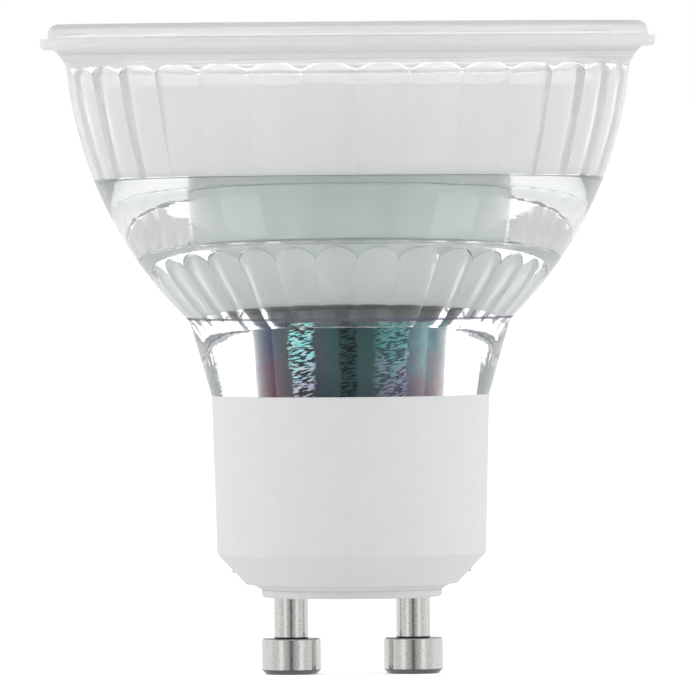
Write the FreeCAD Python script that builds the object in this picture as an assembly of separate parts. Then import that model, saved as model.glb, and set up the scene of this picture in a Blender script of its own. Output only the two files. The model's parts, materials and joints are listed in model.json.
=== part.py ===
"""A spotlight bulb with a twist-lock two-pin base, a pressed glass cup and a clear front cover.

Millimetres. +Z runs along the lamp's axis from the contact pins towards the front cover.
The origin lies on the axis, level with the end faces of the two pins, and +X runs from
the left pin to the right one.
"""

import FreeCAD
import Part
import math
import os
from FreeCAD import Vector

AXIS = Vector(0, 0, 1)
ORIGIN = Vector(0, 0, 0)
DEPTH = Vector(0, 1, 0)

# Contact pins
pin_spacing = 10.0
pin_head_diameter = 4.85
pin_head_height = 2.95
pin_foot_chamfer = 0.35
pin_head_edge = 0.12
pin_stem_diameter = 2.8
pin_reach = 6.3
pin_hole_clearance = 0.05
pin_collar_diameter = 4.0
pin_collar_height = 0.8
pin_crimp_depth = 1.8

# White base shell
shell_height = 16.6
shell_side_diameter = 22.1
shell_flare = 0.35
shell_wall = 1.25
shell_floor = 2.0
shell_edge_radius = 0.2
boss_diameter = 14.85
boss_height = 0.62
boss_hollow = 0.45
bevel_foot_diameter = 17.35
bevel_height = 2.5
guide_rib_width = 0.9
guide_rib_clearance = 3.0
guide_clearance = 0.15
guide_groove_depth = 0.7

# Pressed glass cup
cup_twist = 1.7
neck_height = 6.1
neck_top_diameter = 26.3
kink_fillet = 1.2
ledge_above_neck = 12.3
rim_above_ledge = 10.0
bowl_bulge = 1.95
rim_diameter = 50.4
rim_overhang = 1.08
flare_width = 1.15
flare_hollow = 0.3
shoulder_below_rim = 2.4
rim_thickness = 0.9
rim_edge_radius = 0.42
wall_at_ridges = 2.3
flute_count = 30
flute_radius = 6.0
arch_top_below_rim = 0.7
ledge_width = 3.1
board_bore_depth = 4.7
throat_shelf_width = 1.7
throat_foot_taper = 0.5
throat_flute_count = 24
throat_twist = 10.4
throat_flute_radius = 3.2
neck_wall = 2.05
spigot_length = 3.6
cement_gap = 0.2

# Front cover
cover_thickness = 1.1
cover_set_back = 0.6
cover_edge_radius = 0.9
cover_spigot_depth = 1.1
cover_spigot_wall = 1.0
cover_spigot_clearance = 0.35
cover_adhesive_thickness = 0.1
cover_adhesive_inset = 1.2

# Reflector ring
reflector_height = 6.3
reflector_wall = 1.0
reflector_clearance = 0.3
reflector_step = 0.12
reflector_step_height = 2.6
reflector_foot_height = 1.8
reflector_foot_width = 1.18

# Aluminium heat sink
sink_wall = 0.8
sink_clearance = 0.3
sink_cone_lift = 2.75
sink_collar_length = 1.6

# LED board
paste_thickness = 0.12
paste_margin = 1.2
board_thickness = 1.0
board_clearance = 0.3
led_count = 8
led_circle_diameter = 18.0
led_length = 3.5
led_width = 2.8
led_height = 0.75
phosphor_diameter = 2.3
phosphor_depth = 0.35
led_wire_diameter = 0.9
led_wire_spacing = 5.6
led_wire_hole_clearance = 0.2
led_wire_overlap = 2.6
led_wire_tail = 0.55
solder_diameter = 2.2
solder_height = 0.45

# Driver board and the parts on it
driver_thickness = 1.0
driver_face_y = 2.15
driver_side_clearance = 1.3
driver_top_clearance = 0.6
driver_corner = 1.7
tongue_side_clearance = 1.1
tongue_top_clearance = 1.9
sleeve_wall = 0.25
sleeve_clearance = 0.05
sleeve_bore_clearance = 0.08
sleeve_gap = 0.15
sleeve_length = 11.4
capacitor_diameter = 7.0
capacitor_length = 8.6
capacitor_top_clearance = 0.3
capacitor_groove_depth = 0.3
capacitor_groove_height = 1.3
part_edge_inset = 1.1
part_top_inset = 1.1
part_foot_clearance = 2.3
part_spacing = 0.1
choke_height = 5.6
choke_flange = 0.9
choke_waist_share = 0.45
choke_winding_depth = 0.4
film_depth = 4.3
film_edge_radius = 0.5
resistor_diameter = 2.2
resistor_cap_length = 1.2
resistor_cap_step = 0.12
package_edge_inset = 2.1
package_spacing = 3.2
package_depth = 1.5
package_chamfer = 0.25
leg_width = 0.5
leg_length = 1.15
leg_thickness = 0.25
leg_margin = 0.2
rectifier_leg_count = 2
chip_leg_count = 4
small_part_width = 1.25
small_part_depth = 0.6
small_part_height = 2.0
small_part_inset = 0.8
small_part_lift = 1.6
small_part_pitch = 3.6
lead_diameter = 0.7
lead_rise = 1.5
component_lead_diameter = 0.5
capacitor_lead_pitch = 2.5
capacitor_lead_drop = 0.8

# Levels along the axis
shell_foot_z = pin_reach
shell_floor_z = shell_foot_z + shell_floor
shell_top_z = shell_foot_z + shell_height
spigot_foot_z = shell_top_z - spigot_length
neck_top_z = shell_top_z + neck_height
ledge_z = neck_top_z + ledge_above_neck
rim_under_z = ledge_z + rim_above_ledge
rim_top_z = rim_under_z + rim_thickness
cover_under_z = rim_top_z + cover_adhesive_thickness
cover_top_z = cover_under_z + cover_thickness
shoulder_z = rim_under_z - shoulder_below_rim
arch_top_z = rim_under_z - arch_top_below_rim
throat_top_z = ledge_z - board_bore_depth
sink_top_z = ledge_z + sink_wall
board_foot_z = sink_top_z + paste_thickness
board_top_z = board_foot_z + board_thickness
sink_cone_foot_z = neck_top_z + sink_cone_lift
sink_collar_foot_z = sink_cone_foot_z - sink_collar_length
sleeve_top_z = sink_cone_foot_z - sleeve_gap
sleeve_foot_z = sleeve_top_z - sleeve_length
pin_collar_top_z = shell_floor_z + pin_collar_height
guide_top_z = spigot_foot_z - guide_rib_clearance
driver_top_z = spigot_foot_z - driver_top_clearance
tongue_top_z = sink_collar_foot_z - tongue_top_clearance
parts_foot_z = pin_collar_top_z + part_foot_clearance
parts_top_z = driver_top_z - part_top_inset
parts_z = (parts_foot_z + parts_top_z) / 2
parts_height = parts_top_z - parts_foot_z
capacitor_foot_z = sink_collar_foot_z - capacitor_top_clearance - capacitor_length

# Radii and places that follow from the sizes above
shell_top_r = shell_side_diameter / 2 + shell_flare
shell_bore_r = shell_side_diameter / 2 - shell_wall
spigot_r = shell_bore_r - cement_gap
rim_r = rim_diameter / 2
cover_r = rim_r - cover_set_back
shoulder_r = rim_r - rim_overhang - flare_width
neck_bore_r = spigot_r - neck_wall
throat_foot_r = neck_bore_r + throat_foot_taper
driver_half_width = shell_bore_r - driver_side_clearance
driver_back_y = driver_face_y + driver_thickness
front_part_width = driver_half_width - part_edge_inset - resistor_diameter / 2 - part_spacing
choke_diameter = min(front_part_width, parts_height)
choke_core_diameter = choke_waist_share * choke_diameter
choke_x = part_edge_inset + choke_diameter / 2 - driver_half_width
film_x = driver_half_width - part_edge_inset - front_part_width / 2
package_width = driver_half_width - package_edge_inset - package_spacing / 2
package_height = parts_height - 2 * leg_length
package_x = (package_spacing + package_width) / 2
led_wire_y = driver_face_y - led_wire_diameter / 2
capacitor_y = driver_face_y - capacitor_diameter / 2


def to_xz(point):
    return Vector(point[0], 0, point[1])


def outline(start, *steps):
    """A closed face in the (radius, height) half-plane. A step is an end point, or an arc's (middle, end)."""
    here = start
    edges = []
    for step in steps + (start,):
        if isinstance(step[0], tuple):
            middle, end = step
            edges.append(Part.Arc(to_xz(here), to_xz(middle), to_xz(end)).toShape())
        else:
            end = step
            edges.append(Part.LineSegment(to_xz(here), to_xz(end)).toShape())
        here = end
    return Part.Face(Part.Wire(edges))


def turned(face):
    return face.revolve(ORIGIN, AXIS, 360)


def arc_middle(start, end, bulge):
    """The point half way along an arc that stands off its chord by bulge, on the chord's right-hand side."""
    along_r = end[0] - start[0]
    along_z = end[1] - start[1]
    length = math.hypot(along_r, along_z)
    middle_r = (start[0] + end[0]) / 2 + bulge * along_z / length
    middle_z = (start[1] + end[1]) / 2 - bulge * along_r / length
    return (middle_r, middle_z)


def corner_middle(corner, radius, side_r, side_z):
    """The middle of a quarter round of this radius at a corner. The sides say which way the metal lies."""
    inset = radius * (1 - math.sqrt(0.5))
    return (corner[0] + side_r * inset, corner[1] + side_z * inset)


def cylinder(radius, low_z, high_z, x=0.0, y=0.0):
    return Part.makeCylinder(radius, high_z - low_z, Vector(x, y, low_z))


def tube(outer_r, inner_r, low_z, high_z):
    return cylinder(outer_r, low_z, high_z).cut(cylinder(inner_r, low_z, high_z))


def rotated(shape, degrees):
    copy = shape.copy()
    copy.rotate(ORIGIN, AXIS, degrees)
    return copy


def block(width, depth, height, middle_x, near_y, middle_z):
    """A box given by its size, its middle in X and Z, and the Y of the face nearest the viewer."""
    return Part.makeBox(width, depth, height, Vector(middle_x - width / 2, near_y, middle_z - height / 2))


def bent_lead(points, diameter, bend_radius):
    """A round lead through three points, with its corner rounded."""
    start, corner, end = points
    before = corner.sub(Vector(corner.sub(start)).normalize().multiply(bend_radius))
    after = corner.add(Vector(end.sub(corner)).normalize().multiply(bend_radius))
    to_middle = Vector(before.add(after).multiply(0.5)).sub(corner)
    reach = bend_radius * (math.sqrt(2) - 1)
    middle = corner.add(to_middle.normalize().multiply(reach))
    path = Part.Wire([
        Part.LineSegment(start, before).toShape(),
        Part.Arc(before, middle, after).toShape(),
        Part.LineSegment(after, end).toShape(),
    ])
    section = Part.Wire(Part.makeCircle(diameter / 2, start, corner.sub(start)))
    return path.makePipeShell([section], True, False)


# The bowl's outer arc, which the fluted inner wall and the reflector ring run parallel to
bowl_foot = (neck_top_diameter / 2, neck_top_z)
bowl_shoulder = (shoulder_r, shoulder_z)
bowl_middle = arc_middle(bowl_foot, bowl_shoulder, bowl_bulge)
bowl_curve = Part.Arc(to_xz(bowl_foot), to_xz(bowl_middle), to_xz(bowl_shoulder)).toShape().Curve
bowl_centre = bowl_curve.Center
bowl_r = bowl_curve.Radius


def bowl_radius_at(z, offset):
    """Distance from the axis, at height z, of the bowl's arc moved inwards by offset."""
    return bowl_centre.x + math.sqrt((bowl_r - offset) ** 2 - (z - bowl_centre.z) ** 2)


def ridge_radius_at(z):
    """Distance from the axis, at height z above the ledge, of the ridges between the flutes."""
    foot_r = bowl_radius_at(ledge_z, wall_at_ridges)
    top_r = bowl_radius_at(arch_top_z, wall_at_ridges)
    return foot_r + (top_r - foot_r) * (z - ledge_z) / (arch_top_z - ledge_z)


def sleeve_radius_at(z):
    """Outer radius, at height z, of the film sleeve, which leans with the neck's tapered bore."""
    lean = throat_foot_taper / (neck_top_z - spigot_foot_z)
    return neck_bore_r + lean * (z - spigot_foot_z) - sleeve_bore_clearance


mouth_r = ridge_radius_at(arch_top_z)
ring_foot_r = ridge_radius_at(ledge_z) - reflector_clearance
reflector_bore_r = ring_foot_r - reflector_foot_width
board_r = reflector_bore_r - board_clearance
board_bore_r = board_r - ledge_width
throat_top_r = board_bore_r - throat_shelf_width
sink_collar_r = sleeve_radius_at(sink_collar_foot_z) - sleeve_wall - sleeve_clearance
tongue_r = sleeve_radius_at(sleeve_foot_z) - sleeve_wall - tongue_side_clearance
tongue_half_width = math.sqrt(tongue_r ** 2 - driver_back_y ** 2)


def cup_outside():
    """The cup as a solid blank, with its rim, flare, bowl, neck and the spigot that the shell takes."""
    flare_top = (shoulder_r + flare_width, rim_under_z)
    rim_corner = (rim_r, rim_under_z)
    blank = turned(outline(
        (0, spigot_foot_z),
        (spigot_r, spigot_foot_z),
        (spigot_r, shell_top_z),
        (shell_top_r, shell_top_z),
        bowl_foot,
        (bowl_middle, bowl_shoulder),
        (arc_middle(bowl_shoulder, flare_top, -flare_hollow), flare_top),
        (rim_r - rim_edge_radius, rim_under_z),
        (corner_middle(rim_corner, rim_edge_radius, -1, 1), (rim_r, rim_under_z + rim_edge_radius)),
        (rim_r, rim_top_z),
        (0, rim_top_z),
    ))
    kink = [edge for edge in blank.Edges if is_ring(edge, bowl_foot)]
    return blank.makeFillet(kink_fillet, kink)


def is_ring(edge, point):
    """True for a full circle round the axis through a point of the half-plane."""
    curve = edge.Curve
    if not isinstance(curve, Part.Circle):
        return False
    return abs(curve.Radius - point[0]) < 1e-6 and abs(curve.Center.z - point[1]) < 1e-6


def cup_mouth():
    """The smooth hollow above the ledge, into which the flutes are pressed."""
    return turned(outline(
        (0, ledge_z),
        (ridge_radius_at(ledge_z), ledge_z),
        (mouth_r, arch_top_z),
        (mouth_r, rim_top_z),
        (0, rim_top_z),
    ))


def cup_throat():
    """The heat sink's bore under the ledge, the funnel below it and the neck's tapered bore."""
    return turned(outline(
        (0, spigot_foot_z),
        (neck_bore_r, spigot_foot_z),
        (throat_foot_r, neck_top_z),
        (throat_top_r, throat_top_z),
        (board_bore_r, throat_top_z),
        (board_bore_r, ledge_z),
        (0, ledge_z),
    ))


def flute_cutter(foot, top, radius, count):
    """A round bar with a ball end. It cuts one flute, up to an arch at top, in a cone from foot to top.

    Each of count flutes just meets its neighbours on the cone. The seams face the axis, clear of the glass.
    """
    half_pitch = math.sin(math.pi / count)
    foot = to_xz(foot)
    top = to_xz(top)
    along = top.sub(foot).normalize()
    inwards = Vector(-along.z, 0, along.x)
    arch = top.sub(Vector(along).multiply(top.x * half_pitch))
    bar_foot = foot.add(Vector(inwards).multiply(math.sqrt(radius ** 2 - (foot.x * half_pitch) ** 2)))
    bar_end = arch.add(Vector(inwards).multiply(math.sqrt(radius ** 2 - (arch.x * half_pitch) ** 2)))
    lean = bar_end.sub(bar_foot).normalize()
    bar_start = bar_foot.sub(Vector(lean).multiply(radius))
    bar = Part.makeCylinder(radius, bar_end.sub(bar_start).Length, bar_start, lean)
    ball = Part.makeSphere(radius, bar_end)
    bar.rotate(bar_start, lean, 180)
    ball.rotate(bar_end, AXIS, 180)
    above_foot = cylinder(rim_r, foot.z, rim_top_z)
    return bar.fuse(ball).removeSplitter().common(above_foot)


def upper_flute():
    foot = (ridge_radius_at(ledge_z), ledge_z)
    arch_top = (ridge_radius_at(arch_top_z), arch_top_z)
    return flute_cutter(foot, arch_top, flute_radius, flute_count)


def throat_flute():
    foot = (throat_foot_r, neck_top_z)
    arch_top = (throat_top_r, throat_top_z)
    return flute_cutter(foot, arch_top, throat_flute_radius, throat_flute_count)


def glass_cup():
    cup = cup_outside().cut(cup_mouth()).cut(cup_throat())
    rings = (
        (upper_flute(), flute_count, cup_twist),
        (throat_flute(), throat_flute_count, throat_twist),
    )
    for cutter, count, twist in rings:
        for turn in range(count):
            cup = cup.cut(rotated(cutter, twist + turn * 360 / count))
    return cup


def front_cover():
    """The clear disc on the rim, with a ring below it that centres it in the cup's mouth."""
    edge = (cover_r, cover_top_z)
    disc = turned(outline(
        (0, cover_under_z),
        (edge[0], cover_under_z),
        (edge[0], cover_top_z - cover_edge_radius),
        (corner_middle(edge, cover_edge_radius, -1, -1), (edge[0] - cover_edge_radius, cover_top_z)),
        (0, cover_top_z),
    ))
    ring_r = mouth_r - cover_spigot_clearance
    ring = tube(ring_r, ring_r - cover_spigot_wall, cover_under_z - cover_spigot_depth, cover_under_z)
    return disc.fuse(ring).removeSplitter()


def cover_adhesive():
    """The thin clear bead between the cover and the cup's rim."""
    return tube(cover_r, mouth_r + cover_adhesive_inset, rim_top_z, cover_under_z)


def reflector_ring():
    """The white ring that stands on the ledge round the board and nearly fills the fluted bowl."""
    step_z = ledge_z + reflector_step_height
    top_z = ledge_z + reflector_height
    step_r = ridge_radius_at(step_z) - reflector_clearance
    top_r = ridge_radius_at(top_z) - reflector_clearance
    return turned(outline(
        (reflector_bore_r, ledge_z),
        (ring_foot_r, ledge_z),
        (step_r - reflector_step, step_z),
        (step_r, step_z),
        (top_r, top_z),
        (top_r - reflector_wall, top_z),
        (reflector_bore_r, ledge_z + reflector_foot_height),
    ))


def led_wire_places():
    return [(-led_wire_spacing / 2, led_wire_y), (led_wire_spacing / 2, led_wire_y)]


def with_wire_holes(shape):
    """The shape with its two clearance holes for the wires to the LED board."""
    hole_r = led_wire_diameter / 2 + led_wire_hole_clearance
    for x, y in led_wire_places():
        shape = shape.cut(cylinder(hole_r, ledge_z, board_top_z, x, y))
    return shape


def heat_sink():
    """A drawn aluminium cup: a plate on the ledge, a skirt down the bore, a funnel and a collar."""
    skirt_r = board_bore_r - sink_clearance
    shelf_z = throat_top_z + sink_clearance
    funnel_top_r = throat_top_r - sink_clearance
    lean = (throat_top_r - throat_foot_r) / (throat_top_z - neck_top_z)
    funnel_foot_r = funnel_top_r - lean * (shelf_z - sink_cone_foot_z)
    floor_z = sink_cone_foot_z + sink_wall
    shell = turned(outline(
        (0, sink_collar_foot_z),
        (sink_collar_r, sink_collar_foot_z),
        (sink_collar_r, sink_cone_foot_z),
        (funnel_foot_r, sink_cone_foot_z),
        (funnel_top_r, shelf_z),
        (skirt_r, shelf_z),
        (skirt_r, ledge_z),
        (board_r, ledge_z),
        (board_r, sink_top_z),
        (0, sink_top_z),
    ))
    hollow = turned(outline(
        (0, sink_collar_foot_z),
        (sink_collar_r - sink_wall, sink_collar_foot_z),
        (sink_collar_r - sink_wall, floor_z),
        (funnel_foot_r + lean * sink_wall - sink_wall, floor_z),
        (funnel_top_r + lean * sink_wall - sink_wall, shelf_z + sink_wall),
        (skirt_r - sink_wall, shelf_z + sink_wall),
        (skirt_r - sink_wall, ledge_z),
        (0, ledge_z),
    ))
    return with_wire_holes(shell.cut(hollow))


def thermal_paste():
    return with_wire_holes(cylinder(board_r - paste_margin, sink_top_z, board_foot_z))


def led_board():
    return with_wire_holes(cylinder(board_r, board_foot_z, board_top_z))


def on_led_circle(shape):
    return Part.makeCompound([rotated(shape, (turn + 0.5) * 360 / led_count) for turn in range(led_count)])


def led_packages():
    """White square packages, each with a round pocket for its phosphor."""
    body = Part.makeBox(led_width, led_length, led_height)
    body.translate(Vector(led_circle_diameter / 2 - led_width / 2, -led_length / 2, board_top_z))
    return on_led_circle(body.cut(phosphor_disc()))


def phosphor_disc():
    led_top_z = board_top_z + led_height
    return cylinder(phosphor_diameter / 2, led_top_z - phosphor_depth, led_top_z, led_circle_diameter / 2)


def led_phosphors():
    return on_led_circle(phosphor_disc())


def led_wire(place):
    """A straight wire that rises from the driver board's tongue, through the sink, to its solder joint."""
    top_z = board_top_z + led_wire_tail
    return cylinder(led_wire_diameter / 2, tongue_top_z - led_wire_overlap, top_z, place[0], place[1])


def solder_joints():
    """A low cone of solder round each wire's end on the LED board."""
    joints = []
    for x, y in led_wire_places():
        foot = Vector(x, y, board_top_z)
        top_r = led_wire_diameter / 2 + solder_height / 4
        cone = Part.makeCone(solder_diameter / 2, top_r, solder_height, foot)
        joints.append(cone.cut(led_wire((x, y))))
    return Part.makeCompound(joints)


def insulating_sleeve():
    """The shiny film tube round the driver in the neck. It slides over the sink's collar."""
    foot_r = sleeve_radius_at(sleeve_foot_z)
    top_r = sleeve_radius_at(sleeve_top_z)
    return turned(outline(
        (foot_r - sleeve_wall, sleeve_foot_z),
        (foot_r, sleeve_foot_z),
        (top_r, sleeve_top_z),
        (top_r - sleeve_wall, sleeve_top_z),
    ))


def driver_board():
    """A board that stands between the shell's guides, with bevelled feet and a tongue up into the sleeve."""
    right = [
        (driver_half_width - driver_corner, shell_floor_z),
        (driver_half_width, shell_floor_z + driver_corner),
        (driver_half_width, driver_top_z),
        (tongue_half_width, driver_top_z),
        (tongue_half_width, tongue_top_z),
    ]
    left = [(-x, z) for x, z in reversed(right)]
    board = outline(*right, *left).extrude(Vector(0, driver_thickness, 0))
    board.translate(Vector(0, driver_face_y, 0))
    return board


def electrolytic_capacitor():
    """A can with the rolled groove near its foot, flat against the board's tongue."""
    r = capacitor_diameter / 2
    groove_z = capacitor_foot_z + capacitor_groove_height
    top_z = capacitor_foot_z + capacitor_length
    bevel = capacitor_groove_depth
    can = turned(outline(
        (0, capacitor_foot_z),
        (r - bevel, capacitor_foot_z),
        (r, capacitor_foot_z + bevel),
        (r, groove_z - bevel),
        ((r - bevel, groove_z), (r, groove_z + bevel)),
        (r, top_z - bevel),
        (r - bevel, top_z),
        (0, top_z),
    ))
    can.translate(Vector(0, capacitor_y, 0))
    return can


def facing_cylinder(radius, near_y, far_y):
    """A cylinder that stands on the driver board's front face, at the choke."""
    return Part.makeCylinder(radius, far_y - near_y, Vector(choke_x, near_y, parts_z), DEPTH)


def choke_core():
    """A drum of ferrite: two flanges on a thin waist."""
    near_y = driver_face_y - choke_height
    drum = facing_cylinder(choke_core_diameter / 2, near_y, driver_face_y)
    for flange_y in (near_y, driver_face_y - choke_flange):
        drum = drum.fuse(facing_cylinder(choke_diameter / 2, flange_y, flange_y + choke_flange))
    return drum.removeSplitter()


def choke_winding():
    near_y = driver_face_y - choke_height + choke_flange
    far_y = driver_face_y - choke_flange
    winding = facing_cylinder(choke_diameter / 2 - choke_winding_depth, near_y, far_y)
    return winding.cut(facing_cylinder(choke_core_diameter / 2, near_y, far_y))


def film_capacitor():
    box = block(front_part_width, film_depth, parts_height, film_x, driver_face_y - film_depth, parts_z)
    front = [edge for edge in box.Edges if edge.BoundBox.YMax < driver_face_y - film_edge_radius]
    return box.makeFillet(film_edge_radius, front)


def fusible_resistor():
    """A round body with a pressed cap at each end, flat against the board."""
    r = resistor_diameter / 2
    body = cylinder(r - resistor_cap_step, parts_foot_z, parts_top_z)
    for cap_z in (parts_foot_z, parts_top_z - resistor_cap_length):
        body = body.fuse(cylinder(r, cap_z, cap_z + resistor_cap_length))
    body.translate(Vector(0, driver_face_y - r, 0))
    return body.removeSplitter()


def flat_package(x):
    """A moulded package on the driver board's back face, with its outer edges bevelled."""
    box = block(package_width, package_depth, package_height, x, driver_back_y, parts_z)
    back = [edge for edge in box.Edges if edge.BoundBox.YMin > driver_back_y + package_chamfer]
    return box.makeChamfer(package_chamfer, back)


def legs(x, count):
    """Flat legs above and below a package, lying on the board."""
    pitch = (package_width - 2 * leg_margin) / count
    found = []
    for side in (-1, 1):
        leg_z = parts_z + side * (package_height + leg_length) / 2
        for index in range(count):
            leg_x = x + (index - (count - 1) / 2) * pitch
            found.append(block(leg_width, leg_thickness, leg_length, leg_x, driver_back_y, leg_z))
    return found


def package_legs():
    return Part.makeCompound(legs(-package_x, rectifier_leg_count) + legs(package_x, chip_leg_count))


def surface_mount_parts():
    """Four small flat parts in two rows on the back of the tongue."""
    parts = []
    for side in (-1, 1):
        for row in (0, 1):
            x = side * (tongue_half_width - small_part_inset - small_part_width / 2)
            z = driver_top_z + small_part_lift + row * small_part_pitch
            parts.append(block(small_part_width, small_part_depth, small_part_height, x, driver_back_y, z))
    return Part.makeCompound(parts)


def capacitor_leads():
    """Two leads that drop from the capacitor and turn back to the board."""
    leads = []
    for side in (-1, 1):
        x = side * capacitor_lead_pitch / 2
        start = Vector(x, capacitor_y, capacitor_foot_z)
        corner = Vector(x, capacitor_y, capacitor_foot_z - capacitor_lead_drop)
        end = Vector(x, driver_face_y, corner.z)
        leads.append(bent_lead((start, corner, end), component_lead_diameter, component_lead_diameter))
    return Part.makeCompound(leads)


def mains_lead(side):
    """A stiff lead from the crimp hole of one pin, up and back to the driver board."""
    x = side * pin_spacing / 2
    start = Vector(x, 0, pin_collar_top_z - pin_crimp_depth)
    corner = Vector(x, 0, pin_collar_top_z + lead_rise)
    end = Vector(x, driver_face_y, corner.z)
    return bent_lead((start, corner, end), lead_diameter, lead_diameter)


def contact_pin(side):
    """A turned pin: a bevelled head, a waist through the shell's floor and a collar inside it."""
    head_r = pin_head_diameter / 2
    stem_r = pin_stem_diameter / 2
    collar_r = pin_collar_diameter / 2
    pin = turned(outline(
        (0, 0),
        (head_r - pin_foot_chamfer, 0),
        (head_r, pin_foot_chamfer),
        (head_r, pin_head_height - pin_head_edge),
        (head_r - pin_head_edge, pin_head_height),
        (stem_r, pin_head_height),
        (stem_r, shell_floor_z),
        (collar_r, shell_floor_z),
        (collar_r, pin_collar_top_z),
        (lead_diameter / 2, pin_collar_top_z),
        (lead_diameter / 2, pin_collar_top_z - pin_crimp_depth),
        (0, pin_collar_top_z - pin_crimp_depth),
    ))
    pin.translate(Vector(side * pin_spacing / 2, 0, 0))
    return pin


def board_guides():
    """Ribs down both sides of the shell's bore, in pairs that hold the driver board's edges."""
    inner_x = driver_half_width - guide_groove_depth
    height = guide_top_z - shell_floor_z
    pairs = block(2 * shell_bore_r, 2 * guide_rib_width + driver_thickness + 2 * guide_clearance, height,
                  0, driver_face_y - guide_clearance - guide_rib_width, shell_floor_z + height / 2)
    groove = block(2 * (driver_half_width + guide_clearance), driver_thickness + 2 * guide_clearance, height,
                   0, driver_face_y - guide_clearance, shell_floor_z + height / 2)
    middle = block(2 * inner_x, 2 * shell_bore_r, height, 0, -shell_bore_r, shell_floor_z + height / 2)
    inside = cylinder(shell_bore_r + shell_wall / 2, shell_floor_z, shell_floor_z + height)
    return pairs.cut(groove).cut(middle).common(inside)


def base_shell():
    """The white shell: a bevelled foot with a low boss, two pin holes and the driver board's guides."""
    boss_r = boss_diameter / 2
    bevel_r = bevel_foot_diameter / 2
    side_r = shell_side_diameter / 2
    boss_top = (boss_r, shell_foot_z + boss_height)
    bevel_foot = (bevel_r, boss_top[1] + boss_hollow)
    lean = (side_r - bevel_r) / bevel_height
    wall_across = shell_wall * math.hypot(1, lean)
    floor_r = bevel_r + lean * (shell_floor_z - bevel_foot[1]) - wall_across
    knee_z = shell_floor_z + (shell_bore_r - floor_r) / lean
    body = turned(outline(
        (0, shell_foot_z),
        (boss_r - shell_edge_radius, shell_foot_z),
        (boss_r, shell_foot_z + shell_edge_radius),
        boss_top,
        (arc_middle(boss_top, bevel_foot, -boss_hollow / 4), bevel_foot),
        (side_r, bevel_foot[1] + bevel_height),
        (shell_top_r, shell_top_z),
        (shell_bore_r, shell_top_z),
        (shell_bore_r, knee_z),
        (floor_r, shell_floor_z),
        (0, shell_floor_z),
    ))
    body = body.fuse(board_guides())
    for side in (-1, 1):
        hole_r = pin_stem_diameter / 2 + pin_hole_clearance
        body = body.cut(cylinder(hole_r, shell_foot_z, shell_floor_z, side * pin_spacing / 2))
    return body.removeSplitter()


def neck_cement():
    """The thin ring of cement that fills the gap between the cup's spigot and the shell."""
    return tube(shell_bore_r, spigot_r, spigot_foot_z, shell_top_z)


def all_parts():
    left_wire, right_wire = led_wire_places()
    return {
        "base_shell": base_shell(),
        "neck_cement": neck_cement(),
        "contact_pin_left": contact_pin(-1),
        "contact_pin_right": contact_pin(1),
        "mains_lead_left": mains_lead(-1),
        "mains_lead_right": mains_lead(1),
        "glass_cup": glass_cup(),
        "cover_adhesive": cover_adhesive(),
        "front_cover": front_cover(),
        "reflector_ring": reflector_ring(),
        "heat_sink": heat_sink(),
        "thermal_paste": thermal_paste(),
        "led_board": led_board(),
        "led_packages": led_packages(),
        "led_phosphors": led_phosphors(),
        "solder_joints": solder_joints(),
        "led_wire_negative": led_wire(left_wire),
        "led_wire_positive": led_wire(right_wire),
        "insulating_sleeve": insulating_sleeve(),
        "driver_board": driver_board(),
        "electrolytic_capacitor": electrolytic_capacitor(),
        "capacitor_leads": capacitor_leads(),
        "choke_core": choke_core(),
        "choke_winding": choke_winding(),
        "film_capacitor": film_capacitor(),
        "fusible_resistor": fusible_resistor(),
        "bridge_rectifier": flat_package(-package_x),
        "driver_chip": flat_package(package_x),
        "package_legs": package_legs(),
        "surface_mount_parts": surface_mount_parts(),
    }


os.makedirs("parts", exist_ok=True)
for name, shape in all_parts().items():
    box = shape.BoundBox
    print(f"{name}: {len(shape.Solids)} solids, valid {shape.isValid()}, {shape.Volume:.1f} mm3,"
          f" z {box.ZMin:.2f} to {box.ZMax:.2f}, width {box.XLength:.2f}")
    shape.exportStep(f"parts/{name}.step")
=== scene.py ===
import json
import math

import bpy
from mathutils import Matrix, Vector

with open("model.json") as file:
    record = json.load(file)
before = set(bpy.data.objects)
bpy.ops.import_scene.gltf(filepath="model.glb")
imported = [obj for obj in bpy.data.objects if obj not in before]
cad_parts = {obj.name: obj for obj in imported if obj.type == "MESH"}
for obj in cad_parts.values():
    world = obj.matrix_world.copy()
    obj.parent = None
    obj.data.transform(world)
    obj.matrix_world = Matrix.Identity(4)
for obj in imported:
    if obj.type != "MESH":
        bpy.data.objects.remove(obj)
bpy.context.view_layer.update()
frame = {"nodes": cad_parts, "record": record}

nodes = frame["nodes"]
MM = 0.001

# Camera: where it stands, and how the photograph frames the object
camera_distance = 1.3
camera_lift = math.radians(1.0)
camera_roll = math.radians(-0.45)
view_width = 57.05 * MM
view_middle_x = -0.17 * MM
view_middle_z = 26.7 * MM
sensor_width = 36.0

# Light on matt surfaces, by a direction's y, which is -1 on the camera's side and 1 behind the object
matt_dark_to = -1.0
matt_light_from = 0.3
matt_front_level = 0.58
matt_back_level = 0.95

# Light seen through the glass, in the same way
clear_dark_to = -0.3
clear_light_from = 0.4
clear_front_level = 0.12
clear_back_level = 1.55

# What shiny surfaces reflect: (degrees to either side of the camera, level)
gloss_levels = (
    (0, 0.1), (4, 0.15), (8, 0.38), (16, 0.48), (28, 0.58), (36, 1.0),
    (44, 0.95), (54, 0.68), (72, 0.7), (90, 0.85), (180, 0.88),
)
light_bounces = 32

# Lamps, in metres and watts: (name, place, width, height, power)
soft_boxes = (
    ("soft_box_left", (-0.75, -0.25, 0.3), 0.4, 0.7, 1.2),
    ("soft_box_right", (0.75, -0.25, 0.3), 0.4, 0.7, 1.2),
    ("soft_box_top", (0.0, 0.2, 0.9), 0.6, 0.6, 1.0),
)

# Floor
floor_half_width = 20.0
floor_lift = 0.45
floor_grey = 0.93

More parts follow.
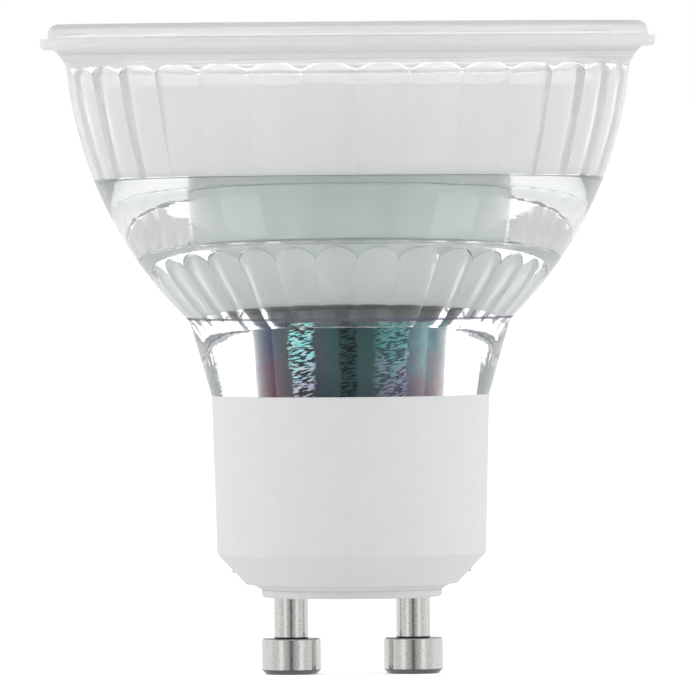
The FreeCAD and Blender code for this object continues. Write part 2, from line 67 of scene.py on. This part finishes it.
# Sizes on the object from here on are in millimetres. Far out is past every surface
far_out = 60.0
edge_soft = 0.06
seat_gap = 0.02
seated_pieces = ("reflector_ring", "heat_sink", "cover_adhesive", "neck_cement", "base_shell")

# Levels inside the cup: the ledge below the upper flutes, and the shelf above the throat's flutes
ledge_z = 41.3
shelf_z = 36.6

# Pale film in the flutes, which are told by how far they stand back from their ridges.
# A ridge is (height, radius) at its foot and at its top
flute_edge = 0.03
flute_depth = 1.3
upper_ridge = ((ledge_z, 18.72), (50.6, 20.81))
upper_film_foot = ledge_z
throat_ridge = ((29.0, 8.05), (shelf_z, 12.15))
throat_film_foot = 31.75
film_level = 0.55
film_colour = (0.96, 0.96, 0.96)
throat_film_level = 0.74
throat_film_colour = (0.97, 0.985, 0.985)
rim_foot_z = 50.35
rim_film_level = 0.78

# Rings of film on the glass: the neck's line, the line under the rim, the ledge, its outer edge, and the
# shelf, as (low z, high z, inner radius, outer radius, strength, colour)
fine_line_colour = (0.5, 0.5, 0.49)
ledge_edge_r = 18.1
glass_rings = (
    (29.07, 29.34, 12.0, 15.0, 0.75, (0.22, 0.19, 0.27)),
    (50.82, 51.08, 22.0, far_out, 0.25, fine_line_colour),
    (ledge_z - edge_soft, ledge_z + edge_soft, 13.8, ledge_edge_r, 0.48, (0.74, 0.78, 0.77)),
    (ledge_z - edge_soft, ledge_z + edge_soft, ledge_edge_r, 18.8, 0.85, (0.4, 0.44, 0.44)),
    (shelf_z - edge_soft, shelf_z + edge_soft, 12.1, 13.9, 0.3, (0.55, 0.6, 0.6)),
)

# Film round the cover's edge, and the fine line near its top
cover_edge_r = 23.4
cover_edge_soft = 0.5
cover_line_foot_z = 52.95
cover_line_level = 0.35

# Painted shade on the pins: the end bevels, darkened for the shadowed floor they mirror, and the corner
# above each head, darkened for the shade under the shell, as (low z, high z, level)
pin_painted_shade_bands = ((-0.2, 0.42, 0.14), (2.87, 3.08, 0.03))

# Dark band at the heat sink's foot
sink_band_z = 32.05
sink_band_colour = (0.02, 0.028, 0.028)

# The film sleeve's like sectors. Places below are shares of the way across one of them
sleeve_repeats = 3
sleeve_shift = 0.75
sleeve_waver = 0.012
sleeve_fade = (23.5, 27.5)
sleeve_top_band = (29.85, 30.0)
sleeve_upper_colours = (
    (0.0, (0.02, 0.08, 0.14)),
    (0.12, (0.0, 0.035, 0.12)),
    (0.22, (0.0, 0.02, 0.025)),
    (0.37, (0.08, 0.1, 0.13)),
    (0.42, (0.045, 0.11, 0.115)),
    (0.62, (0.03, 0.09, 0.09)),
    (0.76, (0.0, 0.065, 0.11)),
    (0.85, (0.19, 0.4, 0.43)),
    (0.9, (0.07, 0.21, 0.24)),
)
sleeve_lower_colours = (
    (0.0, (0.2, 0.07, 0.11)),
    (0.12, (0.14, 0.005, 0.04)),
    (0.22, (0.02, 0.0, 0.03)),
    (0.45, (0.045, 0.1, 0.11)),
    (0.62, (0.05, 0.1, 0.12)),
    (0.76, (0.07, 0.045, 0.13)),
    (0.9, (0.36, 0.22, 0.26)),
)

# The sleeve's wrinkles: their size, and where painted highlights lie on their crests and painted shade in
# their troughs, as (place, level)
wrinkle_size = 0.15
wrinkle_stretch = (0.27, 0.27, 1.0)
wrinkle_lean = math.radians(14)
wrinkle_edge = (0.47, 0.53)
highlight_and_wrinkle_bands = (
    (0.22, 0.0), (0.235, 0.9), (0.325, 0.9), (0.345, 0.0),
    (0.6, 0.0), (0.63, 0.28), (0.755, 0.35), (0.77, 0.0),
)
painted_shade_bands = (
    (0.22, 0.0), (0.235, 0.8), (0.325, 0.8), (0.345, 0.0),
    (0.45, 0.0), (0.458, 1.0), (0.525, 1.0), (0.533, 0.0),
)

# Plain finishes by slot: colour and roughness, then metallic and the size of the mottling where they differ
# from 0 and 0.8
plain_finishes = {
    "clear_silicone": ((0.8, 0.82, 0.82), 0.35),
    "thermal_paste": ((0.8, 0.8, 0.78), 0.6),
    "white_board": ((0.84, 0.84, 0.82), 0.4),
    "led_body": ((0.85, 0.85, 0.82), 0.5),
    "phosphor": ((0.85, 0.62, 0.12), 0.5, 0.0, 0.2),
    "solder": ((0.72, 0.72, 0.73), 0.22, 1.0),
    "green_board": ((0.03, 0.16, 0.07), 0.35),
    "black_epoxy": ((0.02, 0.02, 0.02), 0.55),
    "ferrite": ((0.06, 0.06, 0.065), 0.6),
    "capacitor_sleeve": ((0.02, 0.03, 0.08), 0.35),
    "film_capacitor": ((0.45, 0.05, 0.02), 0.35),
    "resistor_body": ((0.12, 0.25, 0.4), 0.45),
    "tinned_lead": ((0.68, 0.68, 0.67), 0.3, 1.0),
    "small_ceramic": ((0.3, 0.2, 0.12), 0.5),
    "wire_black": ((0.015, 0.015, 0.015), 0.5),
    "wire_red": ((0.45, 0.02, 0.015), 0.5),
    "cement": ((0.9, 0.89, 0.87), 0.85),
}


def node_in(owner, kind):
    """A new node in a material or in the world."""
    return owner.node_tree.nodes.new(kind)


def feed(owner, value, socket):
    """Sets a socket to a number or a colour, or joins it to another node's output."""
    if isinstance(value, float):
        socket.default_value = value
    elif isinstance(value, tuple):
        socket.default_value = (*value, 1)
    else:
        owner.node_tree.links.new(value, socket)


def combine(owner, operation, *terms):
    """The result of a sum, product or the like of outputs and numbers."""
    node = node_in(owner, "ShaderNodeMath")
    node.operation = operation
    for socket, term in zip(node.inputs, terms):
        feed(owner, term, socket)
    return node.outputs["Value"]


def blend(owner, factor, first, second, data_type="RGBA"):
    """First where the factor is 0 and second where it is 1: colours, or numbers where data_type is FLOAT."""
    mix = node_in(owner, "ShaderNodeMix")
    mix.data_type = data_type
    feed(owner, factor, mix.inputs["Factor"])
    feed(owner, first, mix.inputs["A"])
    feed(owner, second, mix.inputs["B"])
    return mix.outputs["Result"]


def between(owner, factor, low, high, from_low=0.3, from_high=0.7, curve="LINEAR"):
    """A number that runs from low to high as the factor does."""
    ranged = node_in(owner, "ShaderNodeMapRange")
    ranged.interpolation_type = curve
    for name, value in (("From Min", from_low), ("From Max", from_high), ("To Min", low), ("To Max", high)):
        ranged.inputs[name].default_value = value
    feed(owner, factor, ranged.inputs["Value"])
    return ranged.outputs["Result"]


def within(owner, value, low, high, soft):
    """1 between low and high, with soft edges inside them, and 0 elsewhere."""
    rise = between(owner, value, 0.0, 1.0, low, low + soft)
    fall = between(owner, value, 1.0, 0.0, high - soft, high)
    return combine(owner, "MULTIPLY", rise, fall)


def shade(owner, factor, *stops):
    """A colour ramp through stops of (place, colour)."""
    ramp = node_in(owner, "ShaderNodeValToRGB")
    elements = ramp.color_ramp.elements
    while len(elements) < len(stops):
        elements.new(0.5)
    for element, (place, colour) in zip(elements, stops):
        element.position = place
        element.color = (*colour, 1)
    feed(owner, factor, ramp.inputs["Fac"])
    return ramp.outputs["Color"]


def grey_ramp(owner, factor, stops):
    """A ramp through stops of (place, level)."""
    return shade(owner, factor, *[(place, (level, level, level)) for place, level in stops])


def new_material(name, colour, roughness, metallic=0.0):
    """A material with one Principled shader, which is returned beside it."""
    material = bpy.data.materials.new(name)
    material.use_nodes = True
    shader = material.node_tree.nodes["Principled BSDF"]
    shader.inputs["Base Color"].default_value = (*colour, 1)
    shader.inputs["Roughness"].default_value = roughness
    shader.inputs["Metallic"].default_value = metallic
    return material, shader


def position(material, stretch=(1, 1, 1), lean=0.0):
    """The point on the object in millimetres, turned about Y and then stretched along each axis."""
    coordinates = node_in(material, "ShaderNodeTexCoord")
    turned = node_in(material, "ShaderNodeVectorRotate")
    turned.rotation_type = "Y_AXIS"
    turned.inputs["Angle"].default_value = lean
    feed(material, coordinates.outputs["Object"], turned.inputs["Vector"])
    mapping = node_in(material, "ShaderNodeMapping")
    mapping.inputs["Scale"].default_value = [s / MM for s in stretch]
    feed(material, turned.outputs["Vector"], mapping.inputs["Vector"])
    return mapping.outputs["Vector"]


def height_in(material):
    """Millimetres above the pins' ends."""
    split = node_in(material, "ShaderNodeSeparateXYZ")
    feed(material, position(material), split.inputs["Vector"])
    return split.outputs["Z"]


def radius_in(material):
    """Millimetres from the axis."""
    length = node_in(material, "ShaderNodeVectorMath")
    length.operation = "LENGTH"
    feed(material, position(material, (1, 1, 0)), length.inputs[0])
    return length.outputs["Value"]


def noise(material, size, stretch=(1, 1, 1), detail=3.0, lean=0.0):
    """Soft noise whose lumps are about size millimetres across before the stretch."""
    texture = node_in(material, "ShaderNodeTexNoise")
    texture.inputs["Scale"].default_value = 1 / size
    texture.inputs["Detail"].default_value = detail
    feed(material, position(material, stretch, lean), texture.inputs["Vector"])
    return texture.outputs["Fac"]


def bump(material, shader, height, depth):
    """Raises the surface by up to depth millimetres."""
    bumped = node_in(material, "ShaderNodeBump")
    bumped.inputs["Strength"].default_value = 1.0
    bumped.inputs["Distance"].default_value = depth * MM
    feed(material, height, bumped.inputs["Height"])
    feed(material, bumped.outputs["Normal"], shader.inputs["Normal"])


def mottled(name, colour, roughness, metallic=0.0, size=0.8, spread=0.06, stretch=(1, 1, 1), depth=0.004):
    """A plain finish with faint changes of tone, gloss and height."""
    material, shader = new_material(name, colour, roughness, metallic)
    lumps = noise(material, size, stretch)
    dark = [c * (1 - spread) for c in colour]
    light = [min(1, c * (1 + spread)) for c in colour]
    feed(material, shade(material, lumps, (0.3, dark), (0.7, light)), shader.inputs["Base Color"])
    gloss = between(material, lumps, roughness * 0.85, roughness * 1.15)
    feed(material, gloss, shader.inputs["Roughness"])
    bump(material, shader, noise(material, size / 4, stretch), depth)
    return material, shader


def clear_glass(name, colour, ripple_depth):
    """Clear glass with the faint level ripples that a press leaves."""
    material, shader = new_material(name, colour, 0.02)
    shader.inputs["Transmission Weight"].default_value = 1.0
    shader.inputs["IOR"].default_value = 1.5
    ripples = noise(material, 1.0, (0.25, 0.25, 1.6), detail=2.0)
    bump(material, shader, ripples, ripple_depth)
    return material, shader


def film_over(material, below, mask, level, colour):
    """Lays a thin matt film over a surface where the mask is 1, which lets light through."""
    diffuse = node_in(material, "ShaderNodeBsdfDiffuse")
    through = node_in(material, "ShaderNodeBsdfTranslucent")
    for layer in (diffuse, through):
        layer.inputs["Color"].default_value = (*colour, 1)
    film = node_in(material, "ShaderNodeMixShader")
    feed(material, diffuse.outputs["BSDF"], film.inputs[1])
    feed(material, through.outputs["BSDF"], film.inputs[2])
    both = node_in(material, "ShaderNodeMixShader")
    feed(material, combine(material, "MULTIPLY", mask, level), both.inputs["Fac"])
    feed(material, below, both.inputs[1])
    feed(material, film.outputs["Shader"], both.inputs[2])
    output = material.node_tree.nodes["Material Output"]
    feed(material, both.outputs["Shader"], output.inputs["Surface"])
    return both.outputs["Shader"]


def flute_mask(material, radius, height, ridge, low_z):
    """1 on the hollow of each flute, which stands back from the cone of the ridges, and 0 elsewhere."""
    (foot_z, foot_r), (top_z, top_r) = ridge
    slope = (top_r - foot_r) / (top_z - foot_z)
    level = combine(material, "MULTIPLY_ADD", height, slope, foot_r - slope * foot_z)
    set_back = combine(material, "SUBTRACT", radius, level)
    hollow = within(material, set_back, flute_edge, flute_depth, edge_soft)
    ring = within(material, height, low_z, top_z + edge_soft, edge_soft)
    return combine(material, "MULTIPLY", hollow, ring)


def fluted_glass():
    """Pressed glass: film in both rings of flutes and on the rim, and the fine rings."""
    material, shader = clear_glass("pressed_glass", (0.98, 0.99, 0.987), 0.01)
    radius = radius_in(material)
    height = height_in(material)
    flutes = flute_mask(material, radius, height, upper_ridge, upper_film_foot)
    surface = film_over(material, shader.outputs["BSDF"], flutes, film_level, film_colour)
    rim = within(material, height, rim_foot_z, far_out, edge_soft)
    surface = film_over(material, surface, rim, rim_film_level, film_colour)
    flutes = flute_mask(material, radius, height, throat_ridge, throat_film_foot)
    surface = film_over(material, surface, flutes, throat_film_level, throat_film_colour)
    for low_z, high_z, inner_r, outer_r, level, colour in glass_rings:
        soft = min(edge_soft, (high_z - low_z) / 4)
        layer = within(material, height, low_z, high_z, soft)
        ring = within(material, radius, inner_r, outer_r, edge_soft)
        mask = combine(material, "MULTIPLY", layer, ring)
        surface = film_over(material, surface, mask, level, colour)
    return material


def cover_glass():
    material, shader = clear_glass("clear_cover", (0.985, 0.99, 0.99), 0.002)
    edge = within(material, radius_in(material), cover_edge_r, far_out, cover_edge_soft)
    surface = film_over(material, shader.outputs["BSDF"], edge, film_level, film_colour)
    top = within(material, height_in(material), cover_line_foot_z, far_out, edge_soft)
    line = combine(material, "MULTIPLY", edge, top)
    film_over(material, surface, line, cover_line_level, fine_line_colour)
    return material


def white_shell():
    material, shader = mottled("white_shell", (0.79, 0.8, 0.815), 0.42, size=1.4, spread=0.012, depth=0.003)
    shader.inputs["Specular IOR Level"].default_value = 0.45
    return material


def reflector_white():
    return mottled("reflector_white", (0.92, 0.925, 0.93), 0.3, size=2.0, spread=0.015)[0]


def copper_winding():
    """Enamelled wire, whose turns show as fine bands of tone."""
    return mottled("copper_winding", (0.6, 0.22, 0.1), 0.3, 1.0, 0.3, 0.25, (0.1, 2, 0.1))[0]


def nickel():
    """Plated metal: a soft shine with faint streaks down each pin, fine dark pits, and painted shade on the
    end bevels and above each head.
    """
    bright = (0.79, 0.78, 0.76)
    material, shader = new_material("nickel_pin", bright, 0.15, 1.0)
    streaks = noise(material, 0.1, (1.0, 1.0, 0.12), detail=4.0)
    feed(material, between(material, streaks, 0.1, 0.2), shader.inputs["Roughness"])
    pits = noise(material, 0.16, detail=2.0)
    tone = shade(material, pits, (0.36, (0.68, 0.67, 0.655)), (0.5, bright))
    height = height_in(material)
    # Painted shade: the pins' end bevels and the corners above their heads are darkened in the base colour
    for low, high, level in pin_painted_shade_bands:
        pin_shade = within(material, height, low, high, edge_soft)
        tone = blend(material, pin_shade, tone, (level, level, level))
    feed(material, tone, shader.inputs["Base Color"])
    bump(material, shader, pits, 0.004)
    return material


def sink_aluminium():
    """Matt drawn metal with faint lines down the draw."""
    material, shader = mottled(
        "sink_aluminium", (0.63, 0.685, 0.68), 0.5, 0.1,
        size=1.8, spread=0.03, stretch=(1, 1, 0.15), depth=0.0004,
    )
    foot = between(material, height_in(material), 1.0, 0.0, sink_band_z, sink_band_z + edge_soft)
    plain_colour = shader.inputs["Base Color"].links[0].from_socket
    feed(material, blend(material, foot, plain_colour, sink_band_colour), shader.inputs["Base Color"])
    return material


def round_the_tube(material):
    """A share of the way across one of the sleeve's like sectors, with a little waver down the tube."""
    angle = node_in(material, "ShaderNodeTexGradient")
    angle.gradient_type = "RADIAL"
    feed(material, position(material), angle.inputs["Vector"])
    waver = between(material, noise(material, 0.8, (1, 1, 0.8)), -sleeve_waver, sleeve_waver)
    turn = combine(material, "MULTIPLY_ADD", angle.outputs["Fac"], float(sleeve_repeats), sleeve_shift)
    return combine(material, "FRACT", combine(material, "ADD", turn, waver))


def film_sleeve():
    """Dark metallised film: blue, teal and violet bands down the tube, some of them finely wrinkled, with
    painted highlights and painted shade on the wrinkles.
    """
    material, shader = new_material("film_sleeve", (0.05, 0.1, 0.1), 0.35, 0.1)
    shader.inputs["Specular IOR Level"].default_value = 0.08
    across = round_the_tube(material)
    height = height_in(material)
    cloud = between(material, noise(material, 1.2), -1.5, 1.5)
    falling = between(material, combine(material, "ADD", height, cloud), 1.0, 0.0, *sleeve_fade)
    upper = shade(material, across, *sleeve_upper_colours)
    lower = shade(material, across, *sleeve_lower_colours)
    colour = blend(material, falling, upper, lower)

    # Painted highlights on the crests of the wrinkles, in places a painted white glint, and painted shade in
    # the troughs
    ripples = noise(material, wrinkle_size, wrinkle_stretch, 1.0, wrinkle_lean)
    wrinkle = between(material, ripples, 0.0, 1.0, *wrinkle_edge)
    trough_shade = between(material, wrinkle, 1.0, 0.15, 0.0, 1.0)
    painted_shade = combine(material, "MULTIPLY", grey_ramp(material, across, painted_shade_bands), trough_shade)
    colour = blend(material, painted_shade, colour, (0.006, 0.015, 0.015))
    # Painted highlight colours for the crests: teal above, violet below, and white where there is a painted
    # glint
    bright = blend(material, falling, (0.3, 1.0, 1.0), (0.75, 0.7, 1.0))
    painted_glint = between(material, noise(material, wrinkle_size * 2), 0.0, 1.0, 0.55, 0.65)
    bright = blend(material, painted_glint, bright, (1.0, 1.0, 1.0))
    wrinkled = combine(material, "MULTIPLY", grey_ramp(material, across, highlight_and_wrinkle_bands), wrinkle)
    colour = blend(material, wrinkled, colour, bright)
    bump(material, shader, wrinkled, 0.01)

    # The top edge is plain, with dark patches
    clouds = noise(material, 1.6, (1, 1, 0.1), 1.0)
    patches = shade(material, clouds, (0.4, (0.03, 0.045, 0.045)), (0.6, (0.1, 0.15, 0.15)))
    top = between(material, height, 0.0, 1.0, *sleeve_top_band)
    feed(material, blend(material, top, colour, patches), shader.inputs["Base Color"])
    return material


def slot_materials():
    """A material for each slot of the record."""
    return {
        "pressed_glass": fluted_glass(),
        "clear_cover": cover_glass(),
        "white_shell": white_shell(),
        "nickel_pin": nickel(),
        "reflector_white": reflector_white(),
        "sink_aluminium": sink_aluminium(),
        "film_sleeve": film_sleeve(),
        "copper_winding": copper_winding(),
    } | {slot: mottled(slot, *finish)[0] for slot, finish in plain_finishes.items()}


def dress_nodes():
    """Gives every CAD node the material of its slot."""
    materials = slot_materials()
    for subpart in frame["record"]["subparts"]:
        mesh = nodes[subpart["node"]].data
        mesh.materials.clear()
        mesh.materials.append(materials[subpart["material_slot"]])


def seat_apart():
    """A hair of air between the glass and what touches it, so that each face shows cleanly through it."""
    for name in seated_pieces:
        shrink = nodes[name].modifiers.new("seat_gap", "DISPLACE")
        shrink.strength = -seat_gap * MM
        shrink.mid_level = 0.0


def strip_lights(world, direction):
    """What a shiny surface reflects: dark at the camera, with soft strips of light to both sides of it."""
    split = node_in(world, "ShaderNodeSeparateXYZ")
    feed(world, direction, split.inputs["Vector"])
    towards_camera = combine(world, "MULTIPLY", split.outputs["Y"], -1.0)
    turn = combine(world, "ARCTAN2", split.outputs["X"], towards_camera)
    share = combine(world, "DIVIDE", combine(world, "ABSOLUTE", turn), math.pi)
    return grey_ramp(world, share, [(degrees / 180, level) for degrees, level in gloss_levels])


def studio_world():
    """White behind the object, and a soft light that is weaker from the camera's side."""
    world = bpy.data.worlds.new("studio")
    world.use_nodes = True
    background = world.node_tree.nodes["Background"]
    background.inputs["Color"].default_value = (1, 1, 1, 1)
    direction = node_in(world, "ShaderNodeTexCoord").outputs["Generated"]
    split = node_in(world, "ShaderNodeSeparateXYZ")
    feed(world, direction, split.inputs["Vector"])
    towards_back = split.outputs["Y"]
    matt_level = between(
        world, towards_back, matt_front_level, matt_back_level,
        matt_dark_to, matt_light_from, "SMOOTHSTEP",
    )
    glass_level = between(
        world, towards_back, clear_front_level, clear_back_level,
        clear_dark_to, clear_light_from, "SMOOTHSTEP",
    )
    path = node_in(world, "ShaderNodeLightPath").outputs
    scattered = combine(world, "GREATER_THAN", path["Diffuse Depth"], 0.5)
    through_level = blend(world, scattered, glass_level, clear_back_level, "FLOAT")
    gloss_level = strip_lights(world, direction)
    open_level = blend(world, path["Is Glossy Ray"], matt_level, gloss_level, "FLOAT")
    level = blend(world, path["Is Transmission Ray"], open_level, through_level, "FLOAT")
    feed(world, blend(world, path["Is Camera Ray"], level, 1.0, "FLOAT"), background.inputs["Strength"])
    bpy.context.scene.world = world


def studio_floor():
    """A pale floor that reads as white and keeps the object's shadow. Reflections pass it by."""
    half = floor_half_width
    mesh = bpy.data.meshes.new("floor")
    corners = [(-half, -half, 0), (half, -half, 0), (half, half, 0), (-half, half, 0)]
    mesh.from_pydata(corners, [], [(0, 1, 2, 3)])
    floor = bpy.data.objects.new("floor", mesh)
    bpy.context.scene.collection.objects.link(floor)
    floor.visible_glossy = False
    material, shader = new_material("floor", (floor_grey, floor_grey, floor_grey), 0.9)
    shader.inputs["Emission Color"].default_value = (1, 1, 1, 1)
    shader.inputs["Specular IOR Level"].default_value = 0.0
    path = node_in(material, "ShaderNodeLightPath").outputs
    seen = combine(material, "MAXIMUM", path["Is Camera Ray"], path["Is Transmission Ray"])
    feed(material, combine(material, "MULTIPLY", seen, floor_lift), shader.inputs["Emission Strength"])
    mesh.materials.append(material)


def studio_lamps():
    """Large soft lamps that point at the object. Neither the camera nor reflections show them."""
    aim = Vector((0, 0, view_middle_z))
    for name, place, width, height, power in soft_boxes:
        light = bpy.data.lights.new(name, "AREA")
        light.shape = "RECTANGLE"
        light.size = width
        light.size_y = height
        light.energy = power
        lamp = bpy.data.objects.new(name, light)
        bpy.context.scene.collection.objects.link(lamp)
        lamp.location = place
        lamp.rotation_euler = (aim - Vector(place)).to_track_quat("-Z", "Y").to_euler()
        lamp.visible_camera = False
        lamp.visible_glossy = False


def studio_camera():
    """A long lens a little above level, turned slightly so that the lamp leans as in the photograph."""
    camera = bpy.data.cameras.new("camera")
    camera.sensor_width = sensor_width
    camera.lens = sensor_width * camera_distance / view_width
    camera.clip_end = 100
    holder = bpy.data.objects.new("camera", camera)
    bpy.context.scene.collection.objects.link(holder)
    aim = Vector((view_middle_x, 0, view_middle_z))
    away = Vector((0, -math.cos(camera_lift), math.sin(camera_lift)))
    facing = (-away).to_track_quat("-Z", "Y").to_matrix().to_4x4()
    roll = Matrix.Rotation(camera_roll, 4, "Z")
    holder.matrix_world = Matrix.Translation(aim + away * camera_distance) @ facing @ roll
    bpy.context.scene.camera = holder


def light_paths():
    """Enough bounces for light to find its way out of the thick glass."""
    cycles = bpy.context.scene.cycles
    cycles.max_bounces = light_bounces
    cycles.transmission_bounces = light_bounces
    cycles.glossy_bounces = light_bounces


dress_nodes()
seat_apart()
light_paths()
studio_world()
studio_floor()
studio_lamps()
studio_camera()
bpy.context.scene.view_settings.view_transform = "Standard"
